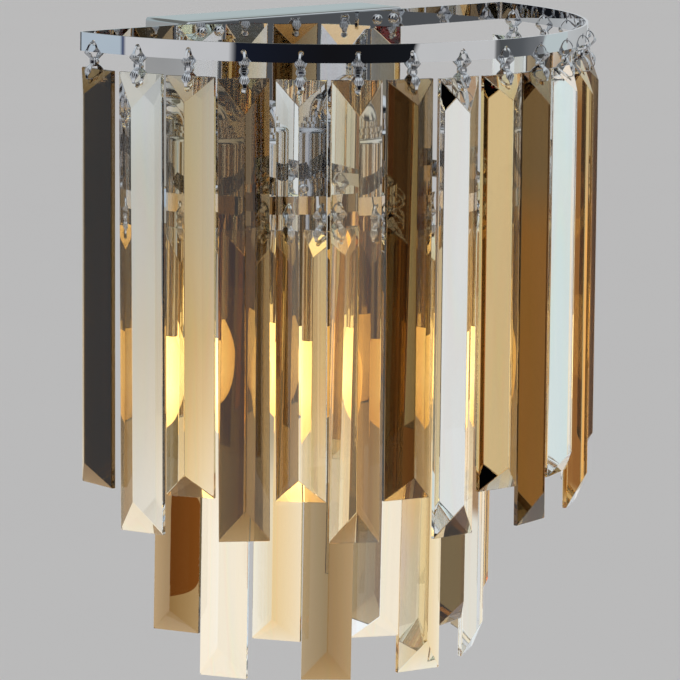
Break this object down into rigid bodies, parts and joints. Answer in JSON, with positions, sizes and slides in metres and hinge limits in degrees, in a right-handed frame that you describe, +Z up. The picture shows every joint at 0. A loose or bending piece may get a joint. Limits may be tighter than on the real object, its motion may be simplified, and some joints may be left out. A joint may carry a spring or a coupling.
{
  "type": "crystal wall sconce",
  "caption": "Half-round wall sconce: a chrome backplate with stepped bands of hanging cut-glass prisms around candle lamps in chrome sleeves.",
  "frame": {"origin": "middle of the wall bracket's back face, between its slotted wall-screw holes, in the plane of the wall", "axes": "+Z up, -Y out of the wall into the room, +X to the right as seen from the room"},
  "size_m": [0.271, 0.1639, 0.2872],
  "materials": {
    "chrome": "mirror-polished chrome plate",
    "zinc_steel": "bright zinc-plated steel",
    "brass": "bare brass",
    "holder_plastic": "dark moulded phenolic",
    "block_plastic": "off-white moulded nylon",
    "lead_cover": "soft white cable cover",
    "grommet_rubber": "black rubber",
    "cap_metal": "bare aluminium",
    "black_glass": "black glass insulator",
    "lamp_glass": "clear lamp glass, lit warm white",
    "smoked_glass": "smoked grey-brown cut crystal",
    "clear_glass": "clear cut crystal",
    "champagne_glass": "champagne-coloured cut crystal"
  },
  "bodies": {
    "fixture": {"backplate": "chrome", "wall_bracket": "zinc_steel", "cover_screws": "chrome", "upper_band": "chrome", "lower_band": "chrome", "band_screws": "chrome", "band_nuts": "zinc_steel", "left_arm": "chrome", "right_arm": "chrome", "arm_flanges": "chrome", "arm_nuts": "zinc_steel", "left_lampholder": "holder_plastic", "right_lampholder": "holder_plastic", "holder_shells": "brass", "holder_contacts": "brass", "left_sleeve": "chrome", "right_sleeve": "chrome", "sleeve_collars": "chrome", "left_bulb": "lamp_glass", "right_bulb": "lamp_glass", "left_bulb_cap": "cap_metal", "right_bulb_cap": "cap_metal", "cap_insulators": "black_glass", "cap_contacts": "zinc_steel", "terminal_block": "block_plastic", "terminal_tubes": "brass", "terminal_screws": "zinc_steel", "earth_screw": "brass", "cable_grommet": "grommet_rubber", "left_lead": "lead_cover", "right_lead": "lead_cover"},
    "upper_crystal_01": {"upper_drop_01": "smoked_glass"},
    "upper_crystal_02": {"upper_drop_02": "clear_glass"},
    "upper_crystal_03": {"upper_drop_03": "champagne_glass"},
    "upper_crystal_04": {"upper_drop_04": "smoked_glass"},
    "upper_crystal_05": {"upper_drop_05": "clear_glass"},
    "upper_crystal_06": {"upper_drop_06": "champagne_glass"},
    "upper_crystal_07": {"upper_drop_07": "smoked_glass"},
    "upper_crystal_08": {"upper_drop_08": "clear_glass"},
    "upper_crystal_09": {"upper_drop_09": "champagne_glass"},
    "upper_crystal_10": {"upper_drop_10": "smoked_glass"},
    "upper_crystal_11": {"upper_drop_11": "clear_glass"},
    "upper_crystal_12": {"upper_drop_12": "champagne_glass"},
    "upper_crystal_13": {"upper_drop_13": "smoked_glass"},
    "upper_crystal_14": {"upper_drop_14": "clear_glass"},
    "upper_crystal_15": {"upper_drop_15": "champagne_glass"},
    "upper_crystal_16": {"upper_drop_16": "smoked_glass"},
    "upper_crystal_17": {"upper_drop_17": "clear_glass"},
    "lower_crystal_01": {"lower_drop_01": "smoked_glass"},
    "lower_crystal_02": {"lower_drop_02": "clear_glass"},
    "lower_crystal_03": {"lower_drop_03": "champagne_glass"},
    "lower_crystal_04": {"lower_drop_04": "smoked_glass"},
    "lower_crystal_05": {"lower_drop_05": "clear_glass"},
    "lower_crystal_06": {"lower_drop_06": "champagne_glass"},
    "lower_crystal_07": {"lower_drop_07": "smoked_glass"},
    "lower_crystal_08": {"lower_drop_08": "clear_glass"},
    "lower_crystal_09": {"lower_drop_09": "champagne_glass"},
    "lower_crystal_10": {"lower_drop_10": "smoked_glass"},
    "lower_crystal_11": {"lower_drop_11": "clear_glass"}
  },
  "joints": [
    {"name": "upper_swing_01", "type": "hinge", "parent": "fixture", "child": "upper_crystal_01", "pos_m": [-0.12962, -0.038, 0.008], "axis": [-0.0769, 0.997, 0], "range_deg": [-2, 35]},
    {"name": "upper_swing_02", "type": "hinge", "parent": "fixture", "child": "upper_crystal_02", "pos_m": [-0.12551, -0.06189, 0.008], "axis": [-0.2607, 0.9654, 0], "range_deg": [-2, 35]},
    {"name": "upper_swing_03", "type": "hinge", "parent": "fixture", "child": "upper_crystal_03", "pos_m": [-0.11703, -0.0846, 0.008], "axis": [-0.4354, 0.9003, 0], "range_deg": [-2, 35]},
    {"name": "upper_swing_04", "type": "hinge", "parent": "fixture", "child": "upper_crystal_04", "pos_m": [-0.10449, -0.10534, 0.008], "axis": [-0.5949, 0.8038, 0], "range_deg": [-2, 35]},
    {"name": "upper_swing_05", "type": "hinge", "parent": "fixture", "child": "upper_crystal_05", "pos_m": [-0.08832, -0.12339, 0.008], "axis": [-0.7338, 0.6794, 0], "range_deg": [-2, 35]},
    {"name": "upper_swing_06", "type": "hinge", "parent": "fixture", "child": "upper_crystal_06", "pos_m": [-0.06907, -0.13813, 0.008], "axis": [-0.8472, 0.5313, 0], "range_deg": [-2, 35]},
    {"name": "upper_swing_07", "type": "hinge", "parent": "fixture", "child": "upper_crystal_07", "pos_m": [-0.04743, -0.14904, 0.008], "axis": [-0.9311, 0.3648, 0], "range_deg": [-2, 35]},
    {"name": "upper_swing_08", "type": "hinge", "parent": "fixture", "child": "upper_crystal_08", "pos_m": [-0.02413, -0.15574, 0.008], "axis": [-0.9826, 0.1856, 0], "range_deg": [-2, 35]},
    {"name": "upper_swing_09", "type": "hinge", "parent": "fixture", "child": "upper_crystal_09", "pos_m": [0, -0.158, 0.008], "axis": [-1, 0, 0], "range_deg": [-2, 35]},
    {"name": "upper_swing_10", "type": "hinge", "parent": "fixture", "child": "upper_crystal_10", "pos_m": [0.02413, -0.15574, 0.008], "axis": [-0.9826, -0.1856, 0], "range_deg": [-2, 35]},
    {"name": "upper_swing_11", "type": "hinge", "parent": "fixture", "child": "upper_crystal_11", "pos_m": [0.04743, -0.14904, 0.008], "axis": [-0.9311, -0.3648, 0], "range_deg": [-2, 35]},
    {"name": "upper_swing_12", "type": "hinge", "parent": "fixture", "child": "upper_crystal_12", "pos_m": [0.06907, -0.13813, 0.008], "axis": [-0.8472, -0.5313, 0], "range_deg": [-2, 35]},
    {"name": "upper_swing_13", "type": "hinge", "parent": "fixture", "child": "upper_crystal_13", "pos_m": [0.08832, -0.12339, 0.008], "axis": [-0.7338, -0.6794, 0], "range_deg": [-2, 35]},
    {"name": "upper_swing_14", "type": "hinge", "parent": "fixture", "child": "upper_crystal_14", "pos_m": [0.10449, -0.10534, 0.008], "axis": [-0.5949, -0.8038, 0], "range_deg": [-2, 35]},
    {"name": "upper_swing_15", "type": "hinge", "parent": "fixture", "child": "upper_crystal_15", "pos_m": [0.11703, -0.0846, 0.008], "axis": [-0.4354, -0.9003, 0], "range_deg": [-2, 35]},
    {"name": "upper_swing_16", "type": "hinge", "parent": "fixture", "child": "upper_crystal_16", "pos_m": [0.12551, -0.06189, 0.008], "axis": [-0.2607, -0.9654, 0], "range_deg": [-2, 35]},
    {"name": "upper_swing_17", "type": "hinge", "parent": "fixture", "child": "upper_crystal_17", "pos_m": [0.12962, -0.038, 0.008], "axis": [-0.0769, -0.997, 0], "range_deg": [-2, 35]},
    {"name": "lower_swing_01", "type": "hinge", "parent": "fixture", "child": "lower_crystal_01", "pos_m": [-0.08352, -0.0438, -0.063], "axis": [-0.1859, 0.9826, 0], "range_deg": [-0.5, 11]},
    {"name": "lower_swing_02", "type": "hinge", "parent": "fixture", "child": "lower_crystal_02", "pos_m": [-0.07602, -0.06602, -0.063], "axis": [-0.4473, 0.8944, 0], "range_deg": [-0.5, 11]},
    {"name": "lower_swing_03", "type": "hinge", "parent": "fixture", "child": "lower_crystal_03", "pos_m": [-0.06274, -0.08535, -0.063], "axis": [-0.6747, 0.7381, 0], "range_deg": [-0.5, 11]},
    {"name": "lower_swing_04", "type": "hinge", "parent": "fixture", "child": "lower_crystal_04", "pos_m": [-0.04468, -0.10031, -0.063], "axis": [-0.8507, 0.5257, 0], "range_deg": [-0.5, 11]},
    {"name": "lower_swing_05", "type": "hinge", "parent": "fixture", "child": "lower_crystal_05", "pos_m": [-0.02323, -0.10977, -0.063], "axis": [-0.9619, 0.2732, 0], "range_deg": [-0.5, 11]},
    {"name": "lower_swing_06", "type": "hinge", "parent": "fixture", "child": "lower_crystal_06", "pos_m": [0, -0.113, -0.063], "axis": [-1, 0, 0], "range_deg": [-0.5, 11]},
    {"name": "lower_swing_07", "type": "hinge", "parent": "fixture", "child": "lower_crystal_07", "pos_m": [0.02323, -0.10977, -0.063], "axis": [-0.9619, -0.2732, 0], "range_deg": [-0.5, 11]},
    {"name": "lower_swing_08", "type": "hinge", "parent": "fixture", "child": "lower_crystal_08", "pos_m": [0.04468, -0.10031, -0.063], "axis": [-0.8507, -0.5257, 0], "range_deg": [-0.5, 11]},
    {"name": "lower_swing_09", "type": "hinge", "parent": "fixture", "child": "lower_crystal_09", "pos_m": [0.06274, -0.08535, -0.063], "axis": [-0.6747, -0.7381, 0], "range_deg": [-0.5, 11]},
    {"name": "lower_swing_10", "type": "hinge", "parent": "fixture", "child": "lower_crystal_10", "pos_m": [0.07602, -0.06602, -0.063], "axis": [-0.4473, -0.8944, 0], "range_deg": [-0.5, 11]},
    {"name": "lower_swing_11", "type": "hinge", "parent": "fixture", "child": "lower_crystal_11", "pos_m": [0.08352, -0.0438, -0.063], "axis": [-0.1859, -0.9826, 0], "range_deg": [-0.5, 11]}
  ]
}
